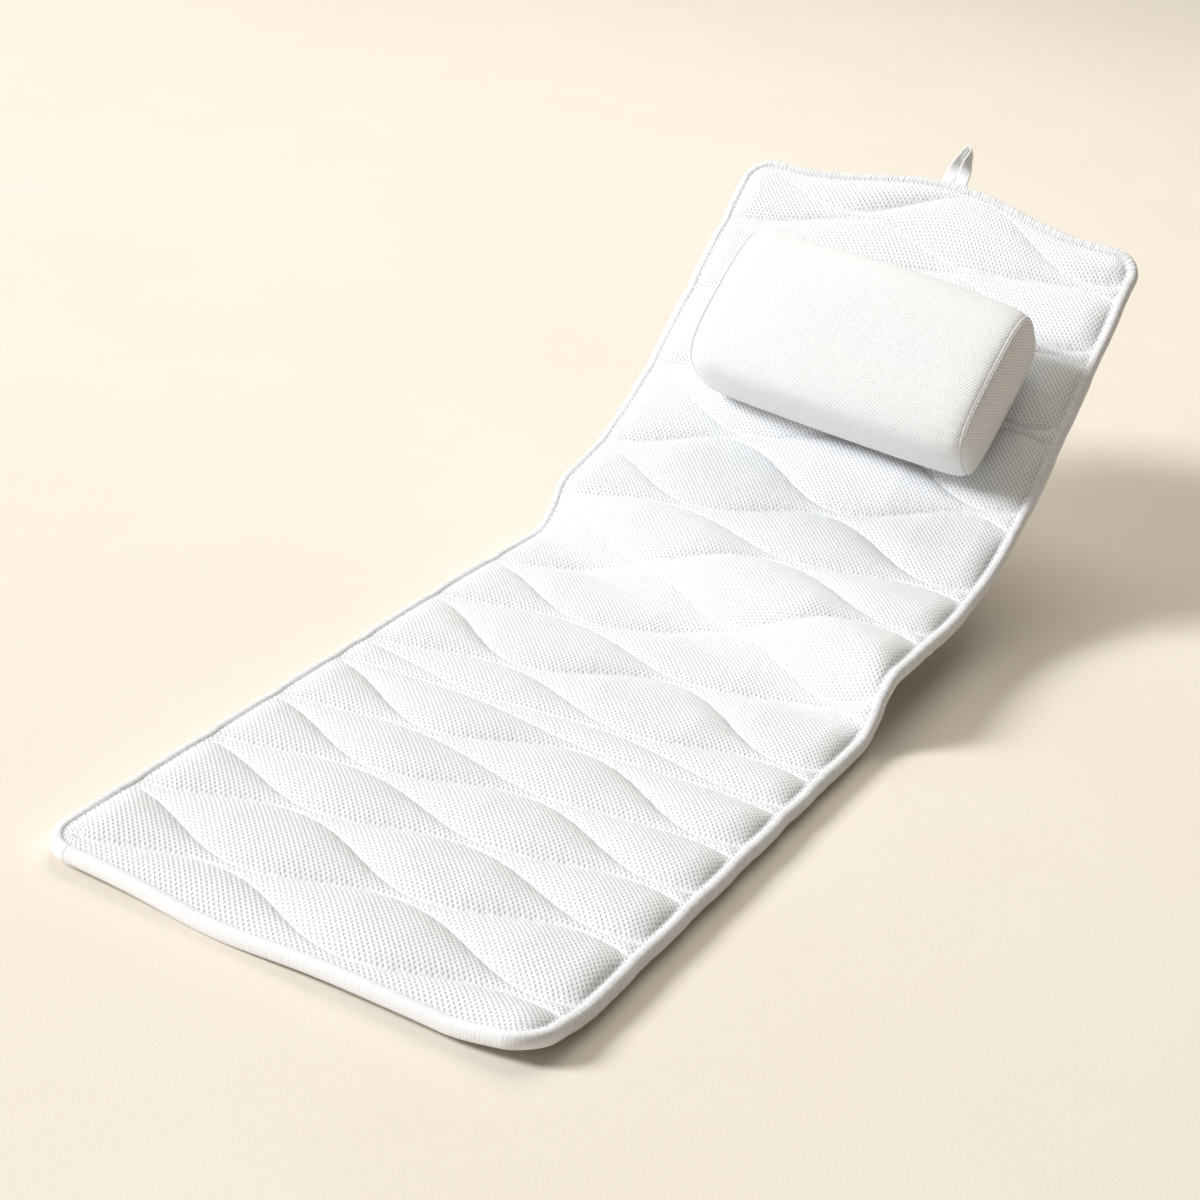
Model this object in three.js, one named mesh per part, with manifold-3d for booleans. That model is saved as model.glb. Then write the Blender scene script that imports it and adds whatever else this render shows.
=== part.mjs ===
import * as THREE from "three";
import Module from "manifold-3d";

// A bath mat with a head pillow, bent up into a back rest. Millimetres, +Z up, +X across,
// +Y towards the head end. On the mat a place is given by x across it, a station along it
// from the foot, and a height above the underside of its base mesh.

const wasm = await Module();
wasm.setup();

// Mat outline
const matWidth = 376;
const matLength = 1096;
const hem = 9;
const cornerRadius = 26;
const headBow = 24;
const headBowSpan = 300;
const headBowShare = 0.876;
const headBowStart = headBowShare * matLength;

// Layers of the mat
const baseThick = 1.2;
const layerGap = 0.6;
const cupHeadThick = 1.2;
const seamThick = 4.4;
const hemThick = 5.4;
const puffRise = 9;
const quiltUnder = baseThick + layerGap + cupHeadThick + layerGap;
const seamTop = quiltUnder + seamThick;
const hemTop = quiltUnder + hemThick;
const foldHeight = quiltUnder + hemThick / 2;

// Bends: the kink at the waist runs askew, the back leans over a long bend
const kinkUpShare = 0.5265;
const kinkDownShare = 0.563;
const kinkUpDegrees = 63;
const kinkDownDegrees = -65.6;
const kinkAskew = 155;
const kinkEdgeLength = 50;
const kinkMiddleLength = 110;
const leanShare = 0.6943;
const leanLength = 300;
const leanDegrees = 46;
const evenShare = 0.438;
const kinkUpStation = kinkUpShare * matLength;
const kinkDownStation = kinkDownShare * matLength;
const leanStation = leanShare * matLength;
const evenFrom = evenShare * matLength;

// Fold between seat and back
const foldShare = 0.657;
const foldStation = foldShare * matLength;
const noseRadius = hemThick / 2;
const seatSetback = 3.1;
const baseSetback = 3;
const tapeSetback = 6;
const foldFade = 14;

// Quilting
const wave = 234;
const waveCrest = 42;
const nodeShares = [
  0.003, 0.040, 0.079, 0.120, 0.156, 0.188, 0.230, 0.254, 0.303, 0.319, 0.339, 0.374, 0.432, 0.467,
  0.517, 0.570, 0.620, 0.652, 0.698, 0.745, 0.786, 0.828, 0.867, 0.903, 0.940, 0.967, 1.004, 1.036,
];
const touchGap = 7;
const fullBand = 70;
const puffPower = 0.6;
const edgeFade = 20;
const columnPitch = wave / 8;
const rowSqueeze = 0.9;
const seatLineCount = 16;
const lineCount = 25;
const bandShares = [0, 1 / 3, 2 / 3];
const flatShare = 0.4288;
const flatUntil = flatShare * matLength;
const cornerRowCount = 5;
const headRowCount = 7;

// Binding tape
const tapeGap = 0.3;
const tapeThick = 1.4;
const tapeCrown = 0.7;
const tapeLeg = 8.6;

// Suction cups
const cupRadius = 15;
const cupLip = 0.6;
const cupDrop = 6.5;
const cupRise = 0.6;
const cupWall = 1.8;
const cupSlopeShare = 0.6;
const cupHoleDepth = 7.2;
const neckRadius = 3;
const neckGap = 0.4;
const headRadius = 6;
const cupSides = 12;
const cupColumnShares = [-0.4, 0, 0.4];
const seatCupShares = [0.05, 0.173, 0.297, 0.42];
const backCupShares = [0.8485, 0.9443];

// Head pillow
const pillowWidth = 282;
const pillowDepth = 156;
const pillowHeight = 92;
const pillowX = 11;
const pillowShare = 0.8312;
const pillowStation = pillowShare * matLength;
const pillowDegrees = -2.5;
const pillowLift = 3.2;
const chordReach = 65;
const coverThick = 2.4;
const coverSides = 28;
const coverRows = 7;
const topPower = 3.2;
const basePower = 3.6;
const drawnInShare = 0.955;
const pipeRadius = 1.6;
const pipeSink = 0.5;
const panelDome = 7;
const domeRiseShares = [0, 0.5, 0.85, 1];
const domeInShares = [0, 0.03, 0.22, 0.6];
const fillThick = 9;
const pieceGap = 0.3;

// Hook and loop strips
const stripLength = 210;
const stripWidth = 25;
const stripThick = 1.5;
const stripSpacing = 56;

// Hanging loop
const loopTall = 38;
const loopTape = 12;
const loopThick = 2;
const loopEye = 5.5;
const loopRest = 2.1;
const loopTail = 2.1;
const loopApart = 1;
const loopSteps = 24;
const loopTurnShare = 0.45;
const loopTopShare = 0.8;

const samples = 548;
const weldReach = 0.001;
const degree = Math.PI / 180;

// Helpers
function ease(value) {
  const t = Math.min(Math.max(value, 0), 1);
  return t * t * (3 - 2 * t);
}

function mix(a, b, share) {
  return a + (b - a) * share;
}

// Share of a bend that is behind a station, for a bend of one length about its middle
function bentShare(station, middle, length) {
  return ease((station - middle + length / 2) / length);
}

function kinkDegreesAt(x, station) {
  const across = Math.max(-1, Math.min(1, (2 * x) / matWidth));
  const length = mix(kinkMiddleLength, kinkEdgeLength, across * across);
  const shifted = station + (kinkAskew * across) / 2;
  const up = kinkUpDegrees * bentShare(shifted, kinkUpStation, length);
  return up + kinkDownDegrees * bentShare(shifted, kinkDownStation, length);
}

function turnAt(x, station) {
  const lean = leanDegrees * bentShare(station, leanStation, leanLength);
  return (kinkDegreesAt(x, station) + lean) * degree;
}

const pathReach = matLength + headBow + 2 * hem;
const pathStep = pathReach / samples;
const paths = new Map();

// Running sum of the slope along one line of constant x
function pathAt(x) {
  const across = Math.max(-1, Math.min(1, (2 * x) / matWidth));
  const key = across.toFixed(5);
  if (!paths.has(key)) {
    const path = [[0, 0]];
    for (let i = 0; i < samples; i += 1) {
      const turn = turnAt(x, i * pathStep + pathStep / 2);
      path.push([path[i][0] + Math.cos(turn) * pathStep, path[i][1] + Math.sin(turn) * pathStep]);
    }
    paths.set(key, path);
  }
  return paths.get(key);
}

function rawPath(x, station) {
  if (station <= 0) {
    return [station, 0];
  }
  const path = pathAt(x);
  const at = Math.min(station / pathStep, samples - 1);
  const i = Math.floor(at);
  return [mix(path[i][0], path[i + 1][0], at - i), mix(path[i][1], path[i + 1][1], at - i)];
}

// Every line of constant x reaches the fold at the same point, so the fold is straight
const foldPoint = rawPath(matWidth / 2, foldStation);

function bend(x, station, height) {
  const own = rawPath(x, foldStation);
  const even = ease((station - evenFrom) / (foldStation - evenFrom));
  const [y, z] = rawPath(x, station);
  const turn = turnAt(x, station);
  const lift = height - hemTop;
  return new THREE.Vector3(
    x,
    y + even * (foldPoint[0] - own[0]) - lift * Math.sin(turn),
    z + even * (foldPoint[1] - own[1]) + lift * Math.cos(turn),
  );
}

// The head edge bows outwards in its middle
function bowed(x, station, height) {
  const share = Math.min(Math.abs((2 * x) / headBowSpan), 1);
  const bell = Math.cos((share * Math.PI) / 2) ** 2;
  const out = headBow * bell * ease((station - headBowStart) / (matLength - headBowStart));
  return bend(x, station + out, height);
}

// Square corners of the grid become round ones
const cornerX = matWidth / 2 + hem - cornerRadius;
const cornerFoot = cornerRadius - hem;
const cornerHead = matLength + hem - cornerRadius;

function rounded(x, station) {
  const a = (Math.abs(x) - cornerX) / cornerRadius;
  const foot = station < matLength / 2;
  const b = (foot ? cornerFoot - station : station - cornerHead) / cornerRadius;
  if (a <= 0 || b <= 0) {
    return [x, station];
  }
  const reach = Math.max(a, b) * cornerRadius;
  const angle = a >= b ? (Math.PI / 4) * (b / a) : Math.PI / 2 - (Math.PI / 4) * (a / b);
  const along = reach * Math.sin(angle);
  return [
    Math.sign(x) * (cornerX + reach * Math.cos(angle)),
    foot ? cornerFoot - along : cornerHead + along,
  ];
}

function place(x, station, height) {
  const [rx, rs] = rounded(x, station);
  return bowed(rx, rs, height);
}

// Stitch lines: cosine waves, neighbours nearly touching at every crest
function stitchLine(index, x) {
  const before = nodeShares[index] * matLength;
  const after = nodeShares[index + 1] * matLength;
  const swing = (after - before - touchGap) / 2;
  const within = Math.max(-matWidth / 2, Math.min(matWidth / 2, x));
  const phase = Math.cos(((within - waveCrest) / wave) * 2 * Math.PI);
  return (before + after) / 2 + (index % 2 === 0 ? -swing : swing) * phase;
}

function quiltTop(x, station) {
  const side = matWidth / 2 - Math.abs(x);
  const toFold = Math.abs(foldStation - station) - (station < foldStation ? seatSetback : 0);
  const inset = Math.min(side, station, matLength - station) / edgeFade;
  const fade = Math.min(ease(inset), ease(toFold / foldFade));
  let index = -1;
  while (index < lineCount && stitchLine(index + 1, x) <= station) {
    index += 1;
  }
  const low = index < 0 ? -touchGap : stitchLine(index, x);
  const high = stitchLine(index + 1, x);
  const share = (station - low) / (high - low);
  const width = Math.min((high - low) / fullBand, 1) ** puffPower;
  const puff = puffRise * width * Math.max(4 * share * (1 - share), 0) ** puffPower;
  return mix(hemTop, seamTop + puff, fade);
}

// Rows of the grid follow the stitch lines and crowd together at a section's ends
function rowsOf(firstLine, finalLine, from, to, ends) {
  const rows = [];
  for (const end of ends.before) {
    rows.push(() => end);
  }
  for (let line = firstLine; line <= finalLine; line += 1) {
    for (const share of bandShares) {
      rows.push((x) => {
        const low = line < 0 ? 0 : stitchLine(line, x);
        return mix(low, stitchLine(line + 1, x), share);
      });
    }
  }
  for (const end of ends.after) {
    rows.push(() => end);
  }
  const first = ends.before.length;
  const last = rows.length - 1 - ends.after.length;
  return rows.map((row, i) => {
    if (i < first || i > last) {
      return row;
    }
    const least = from + (i - first + 1) * rowSqueeze;
    const most = to - (last - i + 1) * rowSqueeze;
    return (x) => Math.max(least, Math.min(most, row(x)));
  });
}

// Columns of the grid stand at the crests and quarters of the waves, and at both edges
const columnReach = matWidth / 2 - hem;
const firstColumn = Math.ceil((-columnReach - waveCrest) / columnPitch);
const finalColumn = Math.floor((columnReach - waveCrest) / columnPitch);
const columns = [-matWidth / 2 - hem, -matWidth / 2];
for (let i = firstColumn; i <= finalColumn; i += 1) {
  columns.push(waveCrest + i * columnPitch);
}
columns.push(matWidth / 2, matWidth / 2 + hem);

function geometryOf(points, faces) {
  const geometry = new THREE.BufferGeometry();
  geometry.setAttribute(
    "position",
    new THREE.BufferAttribute(new Float32Array(points.flatMap((p) => [p.x, p.y, p.z])), 3),
  );
  geometry.setIndex(faces.flat());
  return geometry;
}

// Closed skin between an upper and a lower grid; kept[i] is the upper row above lower row i
function slab(upper, lower, kept) {
  const across = upper[0].length;
  const top = (i, j) => i * across + j;
  const low = (i, j) => (upper.length + i) * across + j;
  const faces = [];
  for (let j = 0; j + 1 < across; j += 1) {
    for (let i = 0; i + 1 < upper.length; i += 1) {
      faces.push([top(i, j), top(i, j + 1), top(i + 1, j + 1)]);
      faces.push([top(i, j), top(i + 1, j + 1), top(i + 1, j)]);
    }
    for (let i = 0; i + 1 < lower.length; i += 1) {
      faces.push([low(i, j), low(i + 1, j + 1), low(i, j + 1)]);
      faces.push([low(i, j), low(i + 1, j), low(i + 1, j + 1)]);
    }
    const end = upper.length - 1;
    const lowEnd = lower.length - 1;
    faces.push([top(0, j), low(0, j), low(0, j + 1)], [top(0, j), low(0, j + 1), top(0, j + 1)]);
    faces.push([top(end, j), low(lowEnd, j + 1), low(lowEnd, j)]);
    faces.push([top(end, j), top(end, j + 1), low(lowEnd, j + 1)]);
  }
  for (let i = 0; i + 1 < lower.length; i += 1) {
    const right = across - 1;
    for (let k = kept[i]; k < kept[i + 1]; k += 1) {
      faces.push([top(k, 0), top(k + 1, 0), low(i, 0)]);
      faces.push([top(k, right), low(i, right), top(k + 1, right)]);
    }
    faces.push([top(kept[i + 1], 0), low(i + 1, 0), low(i, 0)]);
    faces.push([top(kept[i + 1], right), low(i, right), low(i + 1, right)]);
  }
  return geometryOf([...upper.flat(), ...lower.flat()], faces);
}

// Closed tube from equal rings of points, its two ends filled with the ring's own outline
function tube(rings, outline, closed) {
  const count = outline.length;
  const faces = [];
  const spans = closed ? rings.length : rings.length - 1;
  for (let i = 0; i < spans; i += 1) {
    const here = i * count;
    const next = ((i + 1) % rings.length) * count;
    for (let k = 0; k < count; k += 1) {
      const far = (k + 1) % count;
      faces.push([here + k, here + far, next + far], [here + k, next + far, next + k]);
    }
  }
  if (!closed) {
    const flat = outline.map(([u, v]) => new THREE.Vector2(u, v));
    const last = (rings.length - 1) * count;
    const order = THREE.ShapeUtils.isClockWise(flat) ? [0, 2, 1] : [0, 1, 2];
    for (const corners of THREE.ShapeUtils.triangulateShape(flat, [])) {
      const [a, b, c] = order.map((i) => corners[i]);
      faces.push([a, c, b], [last + a, last + b, last + c]);
    }
  }
  return geometryOf(rings.flat(), faces);
}

function turnedOut(geometry) {
  const p = geometry.attributes.position;
  const index = geometry.index.array;
  let volume = 0;
  const [a, b, c] = [new THREE.Vector3(), new THREE.Vector3(), new THREE.Vector3()];
  for (let i = 0; i < index.length; i += 3) {
    a.fromBufferAttribute(p, index[i]);
    b.fromBufferAttribute(p, index[i + 1]);
    c.fromBufferAttribute(p, index[i + 2]);
    volume += a.dot(b.cross(c));
  }
  if (volume < 0) {
    for (let i = 0; i < index.length; i += 3) {
      [index[i + 1], index[i + 2]] = [index[i + 2], index[i + 1]];
    }
  }
  return geometry;
}

function solidOf(geometry) {
  return new wasm.Manifold(
    new wasm.Mesh({
      numProp: 3,
      vertProperties: new Float32Array(geometry.attributes.position.array),
      triVerts: new Uint32Array(geometry.index.array),
    }),
  );
}

function geometryFrom(solid) {
  const mesh = solid.getMesh();
  const geometry = new THREE.BufferGeometry();
  geometry.setAttribute("position", new THREE.BufferAttribute(mesh.vertProperties, 3));
  geometry.setIndex(new THREE.BufferAttribute(mesh.triVerts, 1));
  return geometry;
}

const whole = new THREE.Group();
const materials = {
  mesh: { color: 0xf4f4f2, roughness: 0.9 },
  tape: { color: 0xf7f7f6, roughness: 0.85 },
  base: { color: 0xd9d9d7, roughness: 0.9 },
  cup: { color: 0xe6eaec, roughness: 0.35 },
  knit: { color: 0xf3f0eb, roughness: 0.92 },
  fill: { color: 0xe9e6df, roughness: 0.95 },
  strip: { color: 0xeeeeec, roughness: 0.8 },
};

function piece(name, geometry, look, parent = whole) {
  const shown = geometry.toNonIndexed();
  shown.computeVertexNormals();
  const material = new THREE.MeshStandardMaterial({ ...materials[look], metalness: 0 });
  const mesh = new THREE.Mesh(shown, material);
  mesh.name = name;
  parent.add(mesh);
  return mesh;
}

// Rows kept where the layer under them bends, and near the foot's round corners
function keptRows(rows, all) {
  const kept = [];
  rows.forEach((row, i) => {
    const onLine = (i - cornerRowCount) % bandShares.length === 0;
    if (i < cornerRowCount || i === rows.length - 1 || (all ? row(0) > flatUntil : onLine)) {
      kept.push(i);
    }
  });
  return kept;
}

// Seat section: quilt and base mesh
const seatEnd = foldStation - seatSetback;

function seatRows(to) {
  const ends = { before: [-hem, 0], after: [to] };
  return rowsOf(-1, seatLineCount, 0, to, ends).filter((row, i) => i < 2 || i > 3);
}

function grid(rows, across, height) {
  return rows.map((row) => across.map((x) => place(x, row(x), height(x, row(x)))));
}

const seatQuiltRows = seatRows(seatEnd);
const seatKept = keptRows(seatQuiltRows, true);
const seatLower = seatKept.map((i) => seatQuiltRows[i]);
const seatQuilt = slab(
  grid(seatQuiltRows, columns, quiltTop),
  grid(seatLower, columns, () => quiltUnder),
  seatKept,
);
piece("seat_quilt", seatQuilt, "mesh");

function sheet(rows, cups) {
  const every = rows.map((row, i) => i);
  const flat = slab(grid(rows, columns, () => baseThick), grid(rows, columns, () => 0), every);
  let solid = solidOf(turnedOut(flat));
  for (const [x, station] of cups) {
    const holeRadius = neckRadius + neckGap;
    const column = new THREE.CylinderGeometry(holeRadius, holeRadius, cupHoleDepth, cupSides);
    const cutter = welded(column);
    cutter.rotateX(Math.PI / 2 + turnAt(x, station));
    const at = bend(x, station, baseThick / 2);
    cutter.translate(at.x, at.y, at.z);
    solid = solid.subtract(solidOf(cutter));
  }
  return geometryFrom(solid);
}

function welded(geometry) {
  const p = geometry.attributes.position;
  const seen = new Map();
  const points = [];
  const remap = [];
  for (let i = 0; i < p.count; i += 1) {
    const v = new THREE.Vector3().fromBufferAttribute(p, i);
    const key = [v.x, v.y, v.z].map((value) => Math.round(value / weldReach)).join(" ");
    if (!seen.has(key)) {
      seen.set(key, points.length);
      points.push(v);
    }
    remap.push(seen.get(key));
  }
  const index = geometry.index ? [...geometry.index.array] : remap.map((value, i) => i);
  const faces = [];
  for (let i = 0; i < index.length; i += 3) {
    const [a, b, c] = [remap[index[i]], remap[index[i + 1]], remap[index[i + 2]]];
    if (a !== b && b !== c && c !== a) {
      faces.push([a, b, c]);
    }
  }
  return turnedOut(geometryOf(points, faces));
}

function cupPlaces(rowShares) {
  return rowShares.flatMap((rowShare) => {
    return cupColumnShares.map((columnShare) => [columnShare * matWidth, rowShare * matLength]);
  });
}

const seatCups = cupPlaces(seatCupShares);
const backCups = cupPlaces(backCupShares);
const seatBaseRows = seatRows(foldStation - baseSetback);
const seatBaseKept = keptRows(seatBaseRows, true).map((i) => seatBaseRows[i]);
piece("seat_base_mesh", sheet(seatBaseKept, seatCups), "base");

// Back section: its foot end is a half-round nose about the fold
function backRows(from) {
  const ends = { before: [from], after: [matLength, matLength + hem] };
  return rowsOf(seatLineCount, lineCount, from, matLength, ends).filter((row, i) => i !== 1);
}

const backQuiltRows = backRows(foldStation);
const noseAngles = [234, 198, 162, 126];
const nose = noseAngles.map((angle) => {
  const along = foldStation + noseRadius * Math.cos(angle * degree);
  const height = foldHeight + noseRadius * Math.sin(angle * degree);
  return columns.map((x) => place(x, along, height));
});
const backKept = backQuiltRows.map((row, i) => i).filter((i) => {
  const tail = backQuiltRows.length - headRowCount;
  return i === 0 || i >= tail || i % bandShares.length === 0;
});
const backQuilt = slab(
  [...nose, ...grid(backQuiltRows, columns, quiltTop)],
  grid(backKept.map((i) => backQuiltRows[i]), columns, () => quiltUnder),
  backKept.map((i) => (i === 0 ? 0 : i + nose.length)),
);
piece("back_quilt", backQuilt, "mesh");
const backBaseRows = backRows(foldStation + baseSetback);
piece("back_base_mesh", sheet(backKept.map((i) => backBaseRows[i]), backCups), "base");

// Binding tape: one folded section swept round each section's three free edges
const tapeOutline = [
  [tapeLeg, hemTop + tapeGap],
  [-tapeGap, hemTop + tapeGap],
  [-tapeGap, -tapeGap],
  [tapeLeg, -tapeGap],
  [tapeLeg, -tapeGap - tapeThick],
  [-tapeGap, -tapeGap - tapeThick],
  [-tapeGap - tapeThick, -tapeGap],
  [-tapeGap - tapeThick, hemTop + tapeGap],
  [-tapeGap, hemTop + tapeGap + tapeThick],
  [tapeLeg / 2, hemTop + tapeGap + tapeThick + tapeCrown],
  [tapeLeg, hemTop + tapeGap + tapeThick],
];

function inward(x, station) {
  const foot = station < matLength / 2;
  const dx = Math.max(Math.abs(x) - cornerX, 0) * -Math.sign(x);
  const ds = foot ? Math.max(cornerFoot - station, 0) : -Math.max(station - cornerHead, 0);
  const size = Math.hypot(dx, ds);
  return [dx / size, ds / size];
}

function binding(path) {
  const rings = path.map(([x, station]) => {
    const [rx, rs] = rounded(x, station);
    const [dx, ds] = inward(rx, rs);
    return tapeOutline.map(([u, height]) => bowed(rx + dx * u, rs + ds * u, height));
  });
  return turnedOut(tube(rings, tapeOutline, false));
}

const left = columns[0];
const right = columns[columns.length - 1];
const seatTapeRows = seatRows(foldStation - tapeSetback);
const seatTapeKept = keptRows(seatTapeRows, true).map((i) => seatTapeRows[i]);
const footColumns = columns.slice(1, -1).filter((x) => Math.abs(x) > cornerX - columnPitch / 2);
piece(
  "seat_binding",
  binding([
    ...[...seatTapeKept].reverse().map((row) => [left, row(left)]),
    ...footColumns.map((x) => [x, -hem]),
    ...seatTapeKept.map((row) => [right, row(right)]),
  ]),
  "tape",
);
const backTapeRows = backRows(foldStation + tapeSetback);
const backTapeKept = backKept.map((i) => backTapeRows[i]);
piece(
  "back_binding",
  binding([
    ...backTapeKept.map((row) => [left, row(left)]),
    ...columns.slice(1, -1).map((x) => [x, matLength + hem]),
    ...[...backTapeKept].reverse().map((row) => [right, row(right)]),
  ]),
  "tape",
);

// Suction cups, each with its neck through the base mesh and its head above it
function cupGeometry() {
  const headLow = baseThick + layerGap;
  const profile = [
    [0, cupWall - neckRadius - 2 * cupRise],
    [cupRadius * cupSlopeShare, cupWall - cupDrop + cupRise],
    [cupRadius - 2 * cupLip, -cupDrop],
    [cupRadius, -cupDrop],
    [cupRadius, cupLip - cupDrop],
    [cupRadius * cupSlopeShare, -cupWall - cupRise],
    [neckRadius, -cupRise],
    [neckRadius, headLow],
    [headRadius, headLow],
    [headRadius, headLow + cupHeadThick],
    [0, headLow + cupHeadThick],
  ].map(([r, h]) => new THREE.Vector2(r, h));
  const lathe = new THREE.LatheGeometry(profile, cupSides);
  lathe.rotateX(Math.PI / 2);
  return welded(lathe);
}

function addCups(cups, label) {
  cups.forEach(([x, station], i) => {
    const cup = piece(`${label}_cup_${i + 1}`, cupGeometry(), "cup");
    cup.position.copy(bend(x, station, 0));
    cup.rotation.x = turnAt(x, station);
  });
}

addCups(seatCups, "seat");
addCups(backCups, "back");

// Head pillow, built lying on its flat base and set on the chord of the back
const low = bend(pillowX, pillowStation - chordReach, seamTop + puffRise);
const high = bend(pillowX, pillowStation + chordReach, seamTop + puffRise);
const chord = new THREE.Group();
chord.position.addVectors(low, high).multiplyScalar(0.5);
chord.rotation.x = Math.atan2(high.z - low.z, high.y - low.y);
const cushion = new THREE.Group();
cushion.position.z = pillowLift;
cushion.rotation.z = pillowDegrees * degree;
chord.add(cushion);
whole.add(chord);

function pillowSection(shrink, drawn) {
  const outline = [];
  for (let i = 0; i < coverSides; i += 1) {
    const angle = ((i + 0.5) / coverSides) * 2 * Math.PI;
    const power = 2 / (Math.sin(angle) > 0 ? topPower : basePower);
    const side = Math.sign(Math.cos(angle)) * Math.abs(Math.cos(angle)) ** power;
    const up = Math.sign(Math.sin(angle)) * Math.abs(Math.sin(angle)) ** power;
    const half = pillowHeight / 2;
    outline.push([
      side * (pillowDepth / 2 - shrink) * drawn,
      half * drawn + up * (half - shrink) * drawn,
    ]);
  }
  return outline;
}

function drawnAt(x) {
  const share = (2 * x) / pillowWidth;
  return mix(1, drawnInShare, share * share);
}

function ringAt(x, shrink, drawn) {
  return pillowSection(shrink, drawn).map(([v, w]) => new THREE.Vector3(x, v, w));
}

const seamHalf = pillowWidth / 2 - panelDome - pipeRadius;
const coverHalf = seamHalf - pipeRadius - pieceGap;

function coverGeometry() {
  const rings = [];
  for (let i = 0; i < coverRows; i += 1) {
    const x = mix(-coverHalf, coverHalf, i / (coverRows - 1));
    rings.push([x, 0]);
  }
  const there = rings.map(([x]) => ringAt(x, 0, drawnAt(x)));
  const back = [...rings].reverse().map(([x]) => ringAt(x, coverThick, drawnAt(x)));
  return turnedOut(tube([...there, ...back], pillowSection(0, 1), true));
}

piece("pillow_cover", coverGeometry(), "knit", cushion);

// Filling: wadding rolled into a hollow block
function coreGeometry() {
  const reach = seamHalf + pipeRadius;
  const stations = [-reach, -coverHalf / 2, 0, coverHalf / 2, reach];
  const outside = coverThick + 2 * pieceGap;
  const there = stations.map((x) => ringAt(x, outside, drawnAt(x)));
  const back = [...stations].reverse().map((x) => ringAt(x, outside + fillThick, drawnAt(x)));
  return turnedOut(tube([...there, ...back], pillowSection(0, 1), true));
}

piece("pillow_core", coreGeometry(), "fill", cushion);

function panelGeometry(side) {
  const start = seamHalf + pipeRadius + pieceGap;
  const drawn = drawnAt(seamHalf);
  const rise = panelDome - pieceGap;
  const rings = domeRiseShares.map((riseShare, i) => {
    return ringAt(side * (start + rise * riseShare), (domeInShares[i] * pillowHeight) / 2, drawn);
  });
  return turnedOut(tube(rings, pillowSection(0, 1), false));
}

piece("pillow_end_left", panelGeometry(-1), "knit", cushion);
piece("pillow_end_right", panelGeometry(1), "knit", cushion);

function pipingGeometry(side) {
  const sides = 6;
  const drawn = drawnAt(seamHalf);
  const rings = [];
  for (let k = 0; k < sides; k += 1) {
    const angle = (k / sides) * 2 * Math.PI;
    const x = side * seamHalf + pipeRadius * Math.cos(angle);
    rings.push(ringAt(x, pipeSink - pipeRadius * Math.sin(angle), drawn));
  }
  return turnedOut(tube(rings, pillowSection(0, 1), true));
}

piece("pillow_piping_left", pipingGeometry(-1), "knit", cushion);
piece("pillow_piping_right", pipingGeometry(1), "knit", cushion);

// Strips: hook side under the pillow, loop side on the mat
function strip(name, across, top) {
  const box = new THREE.BoxGeometry(stripLength, stripWidth, stripThick);
  const made = piece(name, welded(box), "strip", cushion);
  made.position.set(0, across, top - stripThick / 2);
}

const hookTop = -pieceGap;
const loopTop = hookTop - stripThick - pieceGap;
strip("pillow_hook_strip_low", -stripSpacing / 2, hookTop);
strip("pillow_hook_strip_high", stripSpacing / 2, hookTop);
strip("mat_loop_strip_low", -stripSpacing / 2, loopTop);
strip("mat_loop_strip_high", stripSpacing / 2, loopTop);

// Hanging loop: one tape whose two ends lie side by side and whose top is turned edge on
function loopGeometry() {
  const rings = [];
  const apart = (loopTape + loopApart) / 2;
  const eyeHalf = (loopEye + loopThick) / 2;
  for (let i = 0; i <= loopSteps; i += 1) {
    const share = i / loopSteps;
    const side = 2 * share < 1 ? -1 : 1;
    const rise = 1 - Math.abs(2 * share - 1);
    const turned = ease(rise / loopTurnShare);
    const twist = turned * (Math.PI / 2);
    const out = mix(apart, eyeHalf, turned);
    const inTop = Math.max((rise - loopTopShare) / (1 - loopTopShare), 0);
    const round = Math.sqrt(Math.max(1 - inTop ** 2, 0));
    const centre = new THREE.Vector2(side * out * round, rise * (loopTall + loopTail) - loopTail);
    rings.push({ centre, twist });
  }
  const made = rings.map(({ centre, twist }, i) => {
    const before = rings[Math.max(i - 1, 0)].centre;
    const after = rings[Math.min(i + 1, rings.length - 1)].centre;
    const along = new THREE.Vector3(after.x - before.x, after.y - before.y, 0).normalize();
    const wide = new THREE.Vector3(Math.cos(twist), 0, -Math.sin(twist));
    const thick = new THREE.Vector3().crossVectors(along, wide).normalize();
    const middle = new THREE.Vector3(centre.x, centre.y, 0);
    return loopOutline.map(([u, v]) => {
      const point = middle.clone().addScaledVector(wide, u);
      return point.addScaledVector(thick, v);
    });
  });
  return turnedOut(tube(made, loopOutline, false));
}

const loopOutline = [
  [-loopTape / 2, -loopThick / 2],
  [loopTape / 2, -loopThick / 2],
  [loopTape / 2, loopThick / 2],
  [-loopTape / 2, loopThick / 2],
];
const loopStation = matLength + hem + tapeGap + tapeThick + loopRest;
const loopMesh = piece("hang_loop", loopGeometry(), "tape");
loopMesh.position.copy(bowed(0, loopStation, hemTop / 2));
loopMesh.rotation.x = turnAt(0, loopStation + headBow);

// Origin under the middle of the whole
const box = new THREE.Box3().setFromObject(whole, true);
whole.position.set(-(box.min.x + box.max.x) / 2, -(box.min.y + box.max.y) / 2, -box.min.z);
const group = new THREE.Group();
group.add(whole);
group.updateMatrixWorld(true);

export default group;
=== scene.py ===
import bpy
import numpy as np
from mathutils import Matrix


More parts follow.
